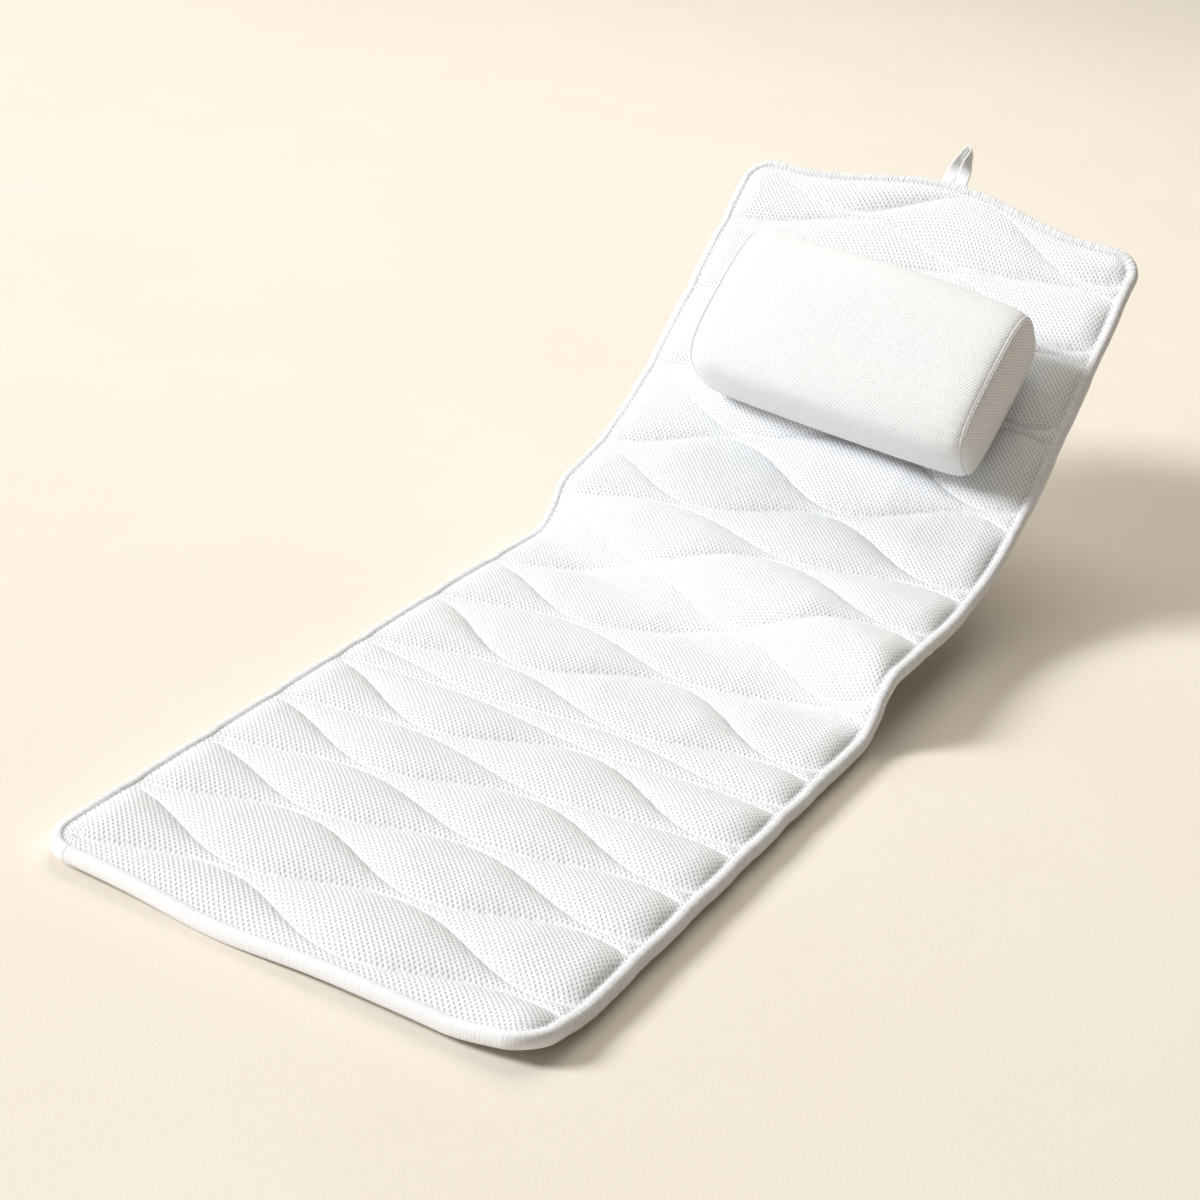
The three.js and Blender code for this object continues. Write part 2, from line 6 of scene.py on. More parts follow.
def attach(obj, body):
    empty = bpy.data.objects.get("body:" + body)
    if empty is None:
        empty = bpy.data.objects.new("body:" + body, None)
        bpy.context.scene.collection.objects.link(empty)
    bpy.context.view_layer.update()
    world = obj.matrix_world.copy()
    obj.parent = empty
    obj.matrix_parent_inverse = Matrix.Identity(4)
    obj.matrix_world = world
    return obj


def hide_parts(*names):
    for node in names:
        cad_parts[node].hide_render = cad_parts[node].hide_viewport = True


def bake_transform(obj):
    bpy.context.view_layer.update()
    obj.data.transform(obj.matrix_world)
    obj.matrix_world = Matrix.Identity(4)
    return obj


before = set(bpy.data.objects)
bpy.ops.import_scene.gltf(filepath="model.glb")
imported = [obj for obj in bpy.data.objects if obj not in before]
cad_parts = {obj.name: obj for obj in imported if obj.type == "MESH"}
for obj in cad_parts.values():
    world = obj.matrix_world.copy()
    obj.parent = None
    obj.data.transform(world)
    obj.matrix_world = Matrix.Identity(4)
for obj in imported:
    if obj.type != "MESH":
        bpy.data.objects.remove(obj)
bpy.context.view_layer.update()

# Quilted pad
# One long pad of white spacer mesh, its knitted faces held apart by upright yarns. It is sewn
# through along wavy lines that nearly touch, so it stands up between them in leaf-shaped puffs.
# It lies flat as the seat, kinks askew at the waist and leans up as the back.
mat_width = 0.376
mat_length = 1.096
hem = 0.009
corner_radius = 0.026
head_bow = 0.024
head_bow_span = 0.300
head_bow_start = 0.876 * mat_length
kink_up_at = 0.5265 * mat_length
kink_down_at = 0.563 * mat_length
kink_up = np.radians(63)
kink_down = np.radians(-65.6)
kink_askew = 0.155
kink_edge = 0.050
kink_middle = 0.110
lean_at = 0.6943 * mat_length
lean_length = 0.300
lean_turn = np.radians(46)
even_from = 0.438 * mat_length
fold_at = 0.657 * mat_length
hem_top = 0.0090
seam_top = 0.0080
hem_step = 0.0006
pad_under = 0.0036
mat_place = (0, -0.5260466, 0.0155)
corner_x = mat_width / 2 + hem - corner_radius
foot_middle = corner_radius - hem
head_middle = mat_length + hem - corner_radius

# Where neighbouring seams nearly touch, as shares of the mat's length, measured off the photograph
node_shares = np.array([
    0.003, 0.040, 0.079, 0.120, 0.156, 0.188, 0.230, 0.254, 0.303, 0.319, 0.339, 0.374, 0.432, 0.467,
    0.517, 0.570, 0.620, 0.652, 0.698, 0.745, 0.786, 0.828, 0.867, 0.903, 0.940, 0.967, 1.004, 1.036,
])
wave = 0.234
wave_crest = 0.042
touch_gap = 0.007
full_band = 0.070
narrow_power = 0.6
puff_rise = 0.0090
puff_power = 0.68
edge_round = 0.020
edge_power = 0.65
pucker_rise = 0.00035
pucker_length = 0.0021
pucker_drift = 0.03
pucker_reach = 0.007
pucker_start = 0.002
slack_share = 0.035
slack_across = 0.017
slack_along = 0.013
slack_bend = 0.021
slack_sway = 0.031
notch_depth = 0.0008
notch_reach = 0.009
notch_from = 0.150
pad_tuck = 0.004

foot_droop_at = -0.045
foot_droop_width = 0.060
foot_droop_reach = 0.050
foot_droop = 0.0042
foot_push = 0.0030
corner_curl = 0.0060
corner_draw = 0.0055
corner_span = 0.070


def eased(value):
    """3t² - 2t³, with t the value held between 0 and 1."""
    t = np.clip(value, 0, 1)
    return t * t * (3 - 2 * t)


def mixed(a, b, share):
    """a + (b - a) · share."""
    return a + (b - a) * share


def slope(x, station):
    """Slope of the mat in radians: the rise and the fall of the kink and the long lean, each eased in."""
    across = np.clip(2 * x / mat_width, -1, 1)
    length = mixed(kink_middle, kink_edge, across**2)
    shifted = station + kink_askew * across / 2
    up = kink_up * eased((shifted - kink_up_at) / length + 0.5)
    down = kink_down * eased((shifted - kink_down_at) / length + 0.5)
    return up + down + lean_turn * eased((station - lean_at) / lean_length + 0.5)


line_step = 0.002
line_reach = 0.210
path_step = 0.001
path_reach = 1.180
line_x = np.arange(-line_reach, line_reach + line_step / 2, line_step)
path_at = np.arange(0, path_reach, path_step)
turns = slope(line_x[:, None], (path_at[:-1] + path_step / 2)[None, :])
start = np.zeros((len(line_x), 1))
path_y = np.concatenate([start, np.cumsum(np.cos(turns) * path_step, axis=1)], axis=1)
path_z = np.concatenate([start, np.cumsum(np.sin(turns) * path_step, axis=1)], axis=1)
fold_index = int(fold_at / path_step)
evened = eased((path_at - even_from) / (fold_at - even_from))
path_y = path_y + evened * (path_y[-1, fold_index] - path_y[:, fold_index])[:, None]
path_z = path_z + evened * (path_z[-1, fold_index] - path_z[:, fold_index])[:, None]


def looked_up(table, x, station):
    """Value of a table of lines of constant x at any place, straight between its four neighbours."""
    a = np.clip((x - line_x[0]) / line_step, 0, len(line_x) - 1.001)
    b = np.clip(station / path_step, 0, len(path_at) - 1.001)
    i, j = a.astype(int), b.astype(int)
    low = mixed(table[i, j], table[i, j + 1], b - j)
    high = mixed(table[i + 1, j], table[i + 1, j + 1], b - j)
    return mixed(low, high, a - i)


def stitch_line(index, x):
    """Station of a seam: the mean of two nodes, swinging by a cosine until neighbours nearly touch."""
    before = node_shares[index] * mat_length
    after = node_shares[index + 1] * mat_length
    swing = (after - before - touch_gap) / 2
    within = np.clip(x, -mat_width / 2, mat_width / 2)
    phase = np.cos((within - wave_crest) / wave * 2 * np.pi)
    return (before + after) / 2 + (swing if index % 2 else -swing) * phase


line_count = len(node_shares) - 1


def notched(x, station):
    """Place across the mat once the edges are drawn in where seams meet them: a bell about each
    seam's end, that only the outer strip of the mat follows."""
    drawn = np.zeros(np.shape(station))
    for index in range(line_count):
        end = np.where(x > 0, stitch_line(index, mat_width / 2), stitch_line(index, -mat_width / 2))
        drawn = drawn + notch_depth * np.exp(-(((station - end) / notch_reach) ** 2))
    near = eased((np.abs(x) - notch_from) / (mat_width / 2 - notch_from))
    return x - np.sign(x) * drawn * near


def on_mat(x, station, height):
    """Point of the bent mat: its line's running sums of cos and sin of the slope, and the height
    along the normal. The head edge bows out by a squared cosine, the foot edge droops by a bell
    and its right corner curls up and in."""
    x, station, height = np.broadcast_arrays(x, station, height)
    x = notched(x, station)
    bell = np.cos(np.clip(np.abs(2 * x / head_bow_span), 0, 1) * np.pi / 2) ** 2
    late = eased((station - head_bow_start) / (mat_length - head_bow_start))
    bowed = station + head_bow * bell * late
    turn = slope(x, bowed)
    lift = height - hem_top
    y = looked_up(path_y, x, bowed) + np.minimum(bowed, 0) - lift * np.sin(turn)
    z = looked_up(path_z, x, bowed) + lift * np.cos(turn)
    droop = np.exp(-(((x - foot_droop_at) / foot_droop_width) ** 2)) * eased(1 - station / foot_droop_reach)
    curl = eased(1 - np.hypot(mat_width / 2 + hem - x, station + hem) / corner_span)
    y = y + mat_place[1] - foot_push * droop + corner_draw * curl
    z = z + mat_place[2] - foot_droop * droop + corner_curl * curl
    return np.stack([x - corner_draw * curl, y, z], -1)


def rounded(x, station):
    """Square corners turned into quarter rings: the larger reach past the corner's middle becomes
    the radius, the smaller over the larger the angle."""
    foot = station < mat_length / 2
    middle = np.where(foot, foot_middle, head_middle)
    a = (np.abs(x) - corner_x) / corner_radius
    b = np.where(foot, middle - station, station - middle) / corner_radius
    inside = (a <= 0) | (b <= 0)
    most = np.maximum(np.maximum(a, b), 1e-9)
    least = np.minimum(a, b)
    angle = np.where(a >= b, np.pi / 4 * least / most, np.pi / 2 - np.pi / 4 * least / most)
    reach = most * corner_radius
    along = reach * np.sin(angle)
    return (
        np.where(inside, x, np.sign(x) * (corner_x + reach * np.cos(angle))),
        np.where(inside, station, middle + np.where(foot, -along, along)),
    )


def seams_about(x, station):
    """Stations of the seam before and the seam after each place."""
    low = np.full(np.shape(station), -touch_gap)
    high = np.full(np.shape(station), mat_length + 4 * touch_gap)
    for index in range(line_count):
        line = stitch_line(index, x)
        low = np.where(line <= station, line, low)
    for index in reversed(range(line_count)):
        line = stitch_line(index, x)
        high = np.where(line > station, line, high)
    return low, high


def pad_top(x, station):
    """Height of the pad: a lens between two seams, (4t(1 - t))^p high, lower where the band is
    narrow, with slight puckers along the seams and some slack, and rolled down at the edges."""
    low, high = seams_about(x, station)
    share = np.clip((station - low) / (high - low), 0, 1)
    width = np.minimum((high - low) / full_band, 1) ** narrow_power
    puff = puff_rise * width * (4 * share * (1 - share)) ** puff_power
    near = np.minimum(station - low, high - station)
    pucker = np.exp(-np.maximum(near, 0) / pucker_reach) * np.clip(near / pucker_start, 0, 1)
    puff = puff + pucker_rise * width * pucker * np.sin(x / pucker_length + 9 * station / pucker_drift)
    across_slack = np.sin(x / slack_across + 3 * np.sin(station / slack_bend))
    along_slack = np.sin(station / slack_along + 2 * np.sin(x / slack_sway))
    puff = puff * (1 + slack_share * (across_slack * along_slack))
    side = np.minimum(mat_width / 2 - np.abs(x), np.minimum(station, mat_length - station))
    fade = (1 - (1 - np.clip(side / edge_round, 0, 1)) ** 2) ** edge_power
    return mixed(hem_top + hem_step, seam_top + puff, fade)


def signed_power(value, power):
    """|value|^power with the value's own sign, which turns a circle into a fuller oval."""
    return np.sign(value) * np.abs(value) ** power


def made(name, points, faces, cut=None, more=()):
    """Mesh object of points and square faces, turned so that its volume is positive, with the
    cloth's own flat coordinates as its UV map."""
    faces = np.asarray(faces)
    a, b, c, d = (points[faces[:, k]] for k in range(4))
    volume = (a * np.cross(b, c)).sum() + (a * np.cross(c, d)).sum()
    turned = faces if volume > 0 else faces[:, ::-1]
    rest = [list(face) if volume > 0 else list(face)[::-1] for face in more]
    mesh = bpy.data.meshes.new(name)
    mesh.from_pydata(points.tolist(), [], turned.tolist() + rest)
    mesh.shade_smooth()
    if cut is not None:
        corner = np.empty(len(mesh.loops), np.int32)
        mesh.loops.foreach_get("vertex_index", corner)
        flat = np.ascontiguousarray(cut[corner], np.float32)
        mesh.uv_layers.new(name="cloth").data.foreach_set("uv", flat.ravel())
    piece = bpy.data.objects.new(name, mesh)
    bpy.context.scene.collection.objects.link(piece)
    return piece


def woven(rows, across, round_across=False, round_rows=False):
    """Square faces of a grid of points, closed round either way where asked."""
    i = np.arange(rows if round_rows else rows - 1)[:, None]
    j = np.arange(across if round_across else across - 1)[None, :]
    here, right = i * across + j, i * across + (j + 1) % across
    up, both = (i + 1) % rows * across + j, (i + 1) % rows * across + (j + 1) % across
    return np.stack([here, right, both, up], -1).reshape(-1, 4)


def tube_ends(rows, across):
    """The two faces that close a tube of rings, turned like the faces of woven()."""
    return [list(range(across))[::-1], list(range((rows - 1) * across, rows * across))]


def point_values(piece, name, values):
    """One number at each point of a piece, kept under a name for its material to read."""
    numbers = np.asarray(values, np.float32).ravel()
    piece.data.attributes.new(name, "FLOAT", "POINT").data.foreach_set("value", numbers)


class Shade:
    """A value in a material's formula. + - * and / on it add Math nodes."""

    def __init__(self, finish, socket):
        self.finish = finish
        self.socket = socket

    def maths(self, operation, *others):
        values = {index + 1: other for index, other in enumerate(others)}
        return self.finish.node("ShaderNodeMath", {"operation": operation}, {0: self, **values})

    def __add__(self, other):
        return self.maths("ADD", other)

    def __sub__(self, other):
        return self.maths("SUBTRACT", other)

    def __mul__(self, other):
        return self.maths("MULTIPLY", other)

    def __truediv__(self, other):
        return self.maths("DIVIDE", other)

    def __rsub__(self, other):
        return self.finish.node("ShaderNodeMath", {"operation": "SUBTRACT"}, {0: other, 1: self})

    __radd__ = __add__

    def wave(self, length):
        """Cosine of the value over one length, from 0 to 1."""
        return (self * (2 * np.pi / length)).maths("COSINE") * 0.5 + 0.5

    def between(self, low, high):
        """Share of the way from low to high, eased and held between 0 and 1."""
        sockets = {"Value": self, "From Min": low, "From Max": high}
        return self.finish.node("ShaderNodeMapRange", {"interpolation_type": "SMOOTHSTEP"}, sockets)


class Finish:
    """A material built from nodes. node() adds one, sets it up, and feeds its sockets."""

    def __init__(self, name, roughness=0.8, **constants):
        self.material = bpy.data.materials.new(name)
        self.material.use_nodes = True
        self.nodes = self.material.node_tree.nodes
        self.links = self.material.node_tree.links
        self.nodes.clear()
        self.shader = self.nodes.new("ShaderNodeBsdfPrincipled")
        output = self.nodes.new("ShaderNodeOutputMaterial")
        self.links.new(self.shader.outputs["BSDF"], output.inputs["Surface"])
        self.feed(self.shader, {"Roughness": roughness, **constants})

    def feed(self, node, sockets):
        """Links each value to its socket, or sets it there where it is a constant."""
        for key, value in sockets.items():
            if isinstance(value, Shade):
                self.links.new(value.socket, node.inputs[key])
            else:
                node.inputs[key].default_value = value

    def node(self, kind, settings=None, sockets=None, output=0):
        """One of the new node's outputs."""
        node = self.nodes.new(kind)
        for key, value in (settings or {}).items():
            setattr(node, key, value)
        self.feed(node, sockets or {})
        return Shade(self, node.outputs[output])

    def apart(self, where, count):
        """The first coordinates of a place, one by one."""
        node = self.nodes.new("ShaderNodeSeparateXYZ")
        self.links.new(where.socket, node.inputs[0])
        return [Shade(self, node.outputs[k]) for k in range(count)]

    def place(self):
        """The Object coordinates, together and apart."""
        where = self.node("ShaderNodeTexCoord", output="Object")
        return where, self.apart(where, 3)

    def cloth(self):
        """The cloth's two flat coordinates in metres, together and apart."""
        where = self.node("ShaderNodeUVMap", {"uv_map": "cloth"})
        return where, self.apart(where, 2)

    def point_value(self, name):
        """The number that point_values() kept under a name."""
        return self.node("ShaderNodeAttribute", {"attribute_name": name}, output="Fac")

    def clouds(self, where, scale, detail=3.0, roughness=0.5):
        """Soft noise from 0 to 1, so many lumps to the metre."""
        sockets = {"Vector": where, "Scale": scale, "Detail": detail, "Roughness": roughness}
        return self.node("ShaderNodeTexNoise", {"noise_dimensions": "3D"}, sockets)

    def blend(self, share, low, high):
        """Colour between two colours."""
        node = self.nodes.new("ShaderNodeMix")
        node.data_type = "RGBA"
        node.blend_type = "MIX"
        self.links.new(share.socket, node.inputs["Factor"])
        colours = [socket for socket in node.inputs if socket.type == "RGBA"]
        colours[0].default_value = (*low, 1)
        colours[1].default_value = (*high, 1)
        return Shade(self, [socket for socket in node.outputs if socket.type == "RGBA"][0])

    def raised(self, height, depth):
        """Bump of a height from 0 to 1 that stands so many metres deep, fed to the shader's Normal."""
        sockets = {"Height": height * depth, "Distance": 1.0, "Strength": 1.0}
        bump = self.node("ShaderNodeBump", None, sockets, "Normal")
        self.links.new(bump.socket, self.shader.inputs["Normal"])

    def lit_through(self, weight, depth):
        """Light that enters the cloth and leaves it again nearby."""
        sockets = {"Subsurface Weight": weight, "Subsurface Scale": depth, "Subsurface Radius": (1, 1, 1)}
        self.feed(self.shader, sockets)

    def colour(self, value):
        """The shader's own colour."""
        self.links.new(value.socket, self.shader.inputs["Base Color"])


mesh_white = (0.89, 0.915, 0.96)
mesh_hole_shade = (0.57, 0.585, 0.62)
column_pitch = 0.0046
row_pitch = 0.0036
mesh_drift = 0.0008
row_slant = 0.42
seam_reach = 0.0016
thread_pitch = 0.0032
mesh_depth = 0.0007

air_mesh = Finish("air_mesh", roughness=0.85, **{"Sheen Weight": 0.12, "Sheen Roughness": 0.5})
air_mesh.lit_through(0.45, 0.006)
flat, (across, along) = air_mesh.cloth()
seam = air_mesh.point_value("seam")
drift = air_mesh.clouds(flat, 60.0, 2.0)
shifted = across + drift * mesh_drift
columns = ((shifted + along) / column_pitch).wave(1.0)
rows_across = (shifted / row_pitch - along / row_pitch * row_slant).wave(1.0)
holes = columns.between(0.42, 0.95) * (rows_across.between(0.1, 0.8) * 0.9 + 0.1)
holes = holes * seam.between(0.3, 1.0) * (0.75 + air_mesh.clouds(flat, 220.0, 1.0) * 0.5)
# The holes are darkened as painted shade inside the mesh's openings, varied at random by the clouds.
air_mesh.colour(air_mesh.blend(holes * 0.9, mesh_white, mesh_hole_shade))
stitches = across.wave(thread_pitch).between(0.25, 0.6) * (1 - seam.between(0.25, 0.6))
air_mesh.raised((1 - holes) * 0.75 + stitches * 0.4 + drift * 0.1, mesh_depth)

pad_columns = 191
band_rows = 18
under_step = 10
edge_crowding = 0.2
row_gap = 0.00003
cloth_from = (0.2, 0.02)
pad_reach = mat_width / 2 + pad_tuck
even_share = np.linspace(-1, 1, pad_columns)
pad_x = pad_reach * ((1 + edge_crowding) * even_share - edge_crowding * even_share**5)
band_share = np.sin(np.linspace(-np.pi / 2, np.pi / 2, band_rows + 1))[:-1] / 2 + 0.5
edges = [np.full(pad_columns, -pad_tuck)]
edges += [stitch_line(index, pad_x) for index in range(line_count)]
edges += [np.full(pad_columns, mat_length + pad_tuck)]
edges = np.clip(np.stack(edges), -pad_tuck, mat_length + pad_tuck)
rows = mixed(edges[:-1, None, :], edges[1:, None, :], band_share[None, :, None]).reshape(-1, pad_columns)
rows = np.concatenate([rows, edges[-1:]])
count = np.arange(len(rows))[:, None]
least = -pad_tuck + count * row_gap
most = mat_length + pad_tuck - (len(rows) - 1 - count) * row_gap
rows = np.clip(rows, least, most)
wide = np.broadcast_to(pad_x, rows.shape)
top_x, top_station = rounded(wide, rows)
low, high = seams_about(wide, rows)
closeness = np.clip(np.minimum(rows - low, high - rows) / seam_reach, 0, 1)
top = on_mat(top_x, top_station, pad_top(wide, rows))
under_x, under_station = top_x[:, ::-under_step], top_station[:, ::-under_step]
under = on_mat(under_x, under_station, np.full(under_x.shape, pad_under))
ring = pad_columns + under_x.shape[1]
pad_points = np.concatenate([top, under], axis=1).reshape(-1, 3)
pad_flat = np.stack([wide, rows], -1)
pad_cut = np.concatenate([pad_flat, pad_flat[:, ::-under_step]], axis=1).reshape(-1, 2) + cloth_from
ends = []
for first, flip in ((0, 1), ((len(rows) - 1) * ring, -1)):
    for k in range(0, pad_columns - 1, under_step):
        near = ring - 1 - k // under_step
        cap = [first + k + step for step in range(under_step + 1)] + [first + near - 1, first + near]
        ends.append(cap[:: -flip])
pad = made("quilted_pad", pad_points, woven(len(rows), ring, round_across=True), pad_cut, ends)
point_values(pad, "seam", np.concatenate([closeness, np.ones(under_x.shape)], axis=1))
pad.data.materials.append(air_mesh.material)
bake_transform(pad)
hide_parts("seat_quilt", "back_quilt")

# Underside net
# A layer of open white net under the pad, cut to its outline and caught in the same binding. The
# suction cups' necks pass through it.
net_thick = 0.0012
net_columns = 73
net_rows = 281
net_sag = 0.0005
net_sag_across = 0.013
net_sag_along = 0.017
net_x = np.linspace(-pad_reach, pad_reach, net_columns)
net_station = np.linspace(-pad_tuck, mat_length + pad_tuck, net_rows)
net_wide, net_long = np.meshgrid(net_x, net_station)
net_rx, net_rs = rounded(net_wide, net_long)
sag = net_sag * np.sin(net_wide / net_sag_across) * np.sin(net_long / net_sag_along)
net_high = on_mat(net_rx, net_rs, net_thick + sag)
net_low = on_mat(net_rx, net_rs, sag)
net_points = np.concatenate([net_high, net_low[:, ::-1]], axis=1).reshape(-1, 3)
net_flat = np.stack([net_wide, net_long], -1)
net_cut = np.concatenate([net_flat, net_flat[:, ::-1]], axis=1).reshape(-1, 2) + cloth_from
net_ring = 2 * net_columns
net_faces = woven(net_rows, net_ring, round_across=True)
last = (net_rows - 1) * net_ring
k = np.arange(net_columns - 1)
foot_end = np.stack([k, net_ring - 1 - k, net_ring - 2 - k, k + 1], -1)
head_end = (foot_end + last)[:, ::-1]
net = made("underside_net", net_points, np.concatenate([net_faces, foot_end, head_end]), net_cut)

net_yarn = (0.74, 0.74, 0.73)
net_gap_shade = (0.42, 0.42, 0.41)
net_cell = 0.0052
net_depth = 0.0008
open_net = Finish("open_net", roughness=0.9)
flat, (across, along) = open_net.cloth()
one = (across / net_cell + along / net_cell).wave(1.0)
other = (across / net_cell - along / net_cell).wave(1.0)
gaps = (one * other).between(0.12, 0.45)
fibre = open_net.clouds(flat, 900.0, 2.0)
# The gaps between the yarns are darkened as painted shade seen through the net; the fibre noise varies it at
# random.
open_net.colour(open_net.blend(gaps * (0.85 + fibre * 0.3), net_yarn, net_gap_shade))
open_net.raised((1 - gaps) * 0.8 + fibre * 0.2, net_depth)
net.data.materials.append(open_net.material)
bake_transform(net)
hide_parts("seat_base_mesh", "back_base_mesh")

# Binding
# White knitted tape folded over the edges of the pad and the net all the way round and sewn
# through near its inner edges, so that it is plump outside and scalloped between its stitches.
tape_rise = 0.0108
tape_drop = -0.0017
tape_out = -0.0017
tape_in = 0.0092
tape_sides = 28
tape_step = 0.0014
side_fullness = 2.7
lift_fullness = 2.3
inner_slope = 0.16
stitch_pitch = 0.0056
scallop_depth = 0.0008
groove_depth = 0.0010
groove_at = 0.62
groove_width = 0.16
gather_count = 661
gather_drift = 43
gather_share = 0.004
uneven_share = 0.03
tape_girth = 0.04
length_scale = 4


def corner_run(x, station, first, last):
    """Quarter circle round a corner's middle, with the outward direction at each point."""
    angle = np.linspace(first, last, int(corner_radius * np.pi / 2 / tape_step), endpoint=False)
    out = np.stack([np.cos(angle), np.sin(angle)], -1)
    return np.array([x, station]) + corner_radius * out, out


def straight_run(from_point, to_point, out):
    """Even points from one place to another, with one outward direction."""
    from_point, to_point = np.array(from_point), np.array(to_point)
    count = int(np.linalg.norm(to_point - from_point) / tape_step)
    share = np.linspace(0, 1, count, endpoint=False)[:, None]
    return mixed(from_point, to_point, share), np.broadcast_to(np.array(out, float), (len(share), 2))


edge_x = mat_width / 2 + hem
runs = [
    straight_run((-corner_x, -hem), (corner_x, -hem), (0, -1)),
    corner_run(corner_x, foot_middle, -np.pi / 2, 0),
    straight_run((edge_x, foot_middle), (edge_x, head_middle), (1, 0)),
    corner_run(corner_x, head_middle, 0, np.pi / 2),
    straight_run((corner_x, mat_length + hem), (-corner_x, mat_length + hem), (0, 1)),
    corner_run(-corner_x, head_middle, np.pi / 2, np.pi),
    straight_run((-edge_x, head_middle), (-edge_x, foot_middle), (-1, 0)),
    corner_run(-corner_x, foot_middle, np.pi, 3 * np.pi / 2),
]
edge = np.concatenate([run[0] for run in runs])
out = np.concatenate([run[1] for run in runs])
length = np.concatenate([[0], np.cumsum(np.linalg.norm(np.diff(edge, axis=0), axis=1))])
whole = length[-1] + np.linalg.norm(edge[0] - edge[-1])
stitch_count = round(whole / stitch_pitch)
beat = np.cos(length / whole * stitch_count * 2 * np.pi)[:, None]
lap = length / whole * 2 * np.pi
uneven = (np.sin(15 * lap) + np.sin(27 * lap + 1) + np.sin(6 * lap + 2))[:, None] / 3
gather = np.sin(gather_count * lap + 5 * np.sin(gather_drift * lap))[:, None]
angle = np.linspace(0, 2 * np.pi, tape_sides, endpoint=False)[None, :]
side = signed_power(np.cos(angle), 2 / side_fullness)
lift = signed_power(np.sin(angle), 2 / lift_fullness)
inner = np.clip(side, 0, 1) ** 3
plump = 1 + gather_share * gather * (1 - inner) + uneven_share * uneven
reach = (tape_in - tape_out) / 2
tall = (tape_rise - tape_drop) / 2
scallop = scallop_depth * inner * np.clip(lift, 0, 1) ** 0.3 * beat
groove = groove_depth * np.exp(-(((side - groove_at) / groove_width) ** 2)) * np.abs(lift) * (1 - 0.5 * beat)
inward = (tape_out + tape_in) / 2 + reach * side * plump - scallop
height = (tape_rise + tape_drop) / 2 + (tall * plump - groove) * lift * (1 - inner_slope * inner)
tape_x = edge[:, 0:1] - out[:, 0:1] * inward
tape_station = edge[:, 1:2] - out[:, 1:2] * inward
tape_points = on_mat(tape_x, tape_station, height)
tape_cut = np.broadcast_arrays(length[:, None] / length_scale, angle / (2 * np.pi) * tape_girth)
tape_cut = np.stack(tape_cut, -1).reshape(-1, 2)
tape_faces = woven(len(edge), tape_sides, round_across=True, round_rows=True)
binding = made("edge_binding", tape_points.reshape(-1, 3), tape_faces, tape_cut)
foot_smooth = 0.06
head_gather = 0.03
gathered = mixed(0.15, 0.8, eased(edge[:, 1] / foot_smooth))
gathered = gathered + 0.2 * eased((edge[:, 1] - mat_length + head_gather) / head_gather)
point_values(binding, "gathered", np.repeat(gathered, tape_sides))

tape_white = (0.89, 0.905, 0.935)
tape_shade = (0.60, 0.61, 0.63)
rib_pitch = 0.0028
row_of_loops = 0.0011
tucks_along = 1640
tucks_round = 45
tape_depth = 0.0005
tape_knit = Finish("tape_knit", roughness=0.8, **{"Sheen Weight": 0.15, "Sheen Roughness": 0.4})
flat, (along, round_it) = tape_knit.cloth()
gathered = tape_knit.point_value("gathered")
ribs = along.wave(rib_pitch / length_scale).between(0.1, 0.6)
loops = round_it.wave(row_of_loops)
true_place = tape_knit.node("ShaderNodeCombineXYZ", None, {"X": along * length_scale, "Y": round_it})
mottle = tape_knit.clouds(true_place, 600.0, 3.0)
tuck_place = {"X": along * tucks_along, "Y": round_it * tucks_round}
tucks = tape_knit.clouds(tape_knit.node("ShaderNodeCombineXYZ", None, tuck_place), 1.0, 2.0)
creases = tucks.between(0.36, 0.60)
# Painted shade in the rib valleys and creases, deeper where the tape is gathered, plus the knit's loop rows
# and random mottle.
painted_shade_and_knit_tone = (1 - ribs) * gathered * 0.32 + loops * 0.05 + mottle * 0.1 + (1 - creases) * gathered * 0.24
tape_knit.colour(tape_knit.blend(painted_shade_and_knit_tone, tape_white, tape_shade))
relief = ribs * gathered * 0.6 + loops * 0.08 + mottle * 0.12 + creases * gathered * 0.7
tape_knit.raised(relief, tape_depth)
binding.data.materials.append(tape_knit.material)
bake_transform(binding)
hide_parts("seat_binding", "back_binding")

# Suction cups
# Eighteen milky rubber cups, moulded in one piece with a neck through the net and a flat button
# head above it that keeps them there. Twelve stick to the tub's floor, six to its end wall.
cup_radius = 0.015
cup_drop = 0.0065
neck_radius = 0.003
head_radius = 0.006
cup_columns = (-0.4, 0, 0.4)
seat_cup_rows = (0.05, 0.173, 0.297, 0.42)
back_cup_rows = (0.8485, 0.9443)
cup_sides = 56
cup_hollow = [(0.0002, -0.0030), (0.0040, -0.0031), (0.0078, -0.0037), (0.0110, -0.0048), (0.0132, -0.0059)]
cup_lip = [(0.0139, -cup_drop), (0.0147, -cup_drop), (cup_radius, -0.0063), (0.0149, -0.0059)]
cup_back = [(0.0132, -0.0049), (0.0110, -0.0034), (0.0085, -0.0023), (0.0060, -0.0016), (0.0042, -0.0011)]
cup_neck = [(0.0033, -0.0008), (neck_radius, -0.0003), (neck_radius, 0.0015), (0.0032, 0.0018)]
cup_head = [(0.0056, 0.0018), (head_radius, 0.0020), (head_radius, 0.0027), (0.0057, 0.0030)]
cup_top = [(neck_radius, 0.0030), (0.0002, 0.0030)]
cup_profile = np.array(cup_hollow + cup_lip + cup_back + cup_neck + cup_head + cup_top)
milky = (0.78, 0.81, 0.82)
milky_shade = (0.70, 0.74, 0.755)
cup_relief = 0.0002
cup_rubber = Finish("cup_rubber", roughness=0.32, **{"Coat Roughness": 0.2, "IOR": 1.43})
where, _ = cup_rubber.place()
cup_rubber.shader.inputs["Subsurface Weight"].default_value = 0.25
cup_rubber.shader.inputs["Subsurface Radius"].default_value = (0.004, 0.004, 0.004)
haze = cup_rubber.clouds(where, 180.0, 3.0)
specks = cup_rubber.clouds(where, 1500.0, 2.0)
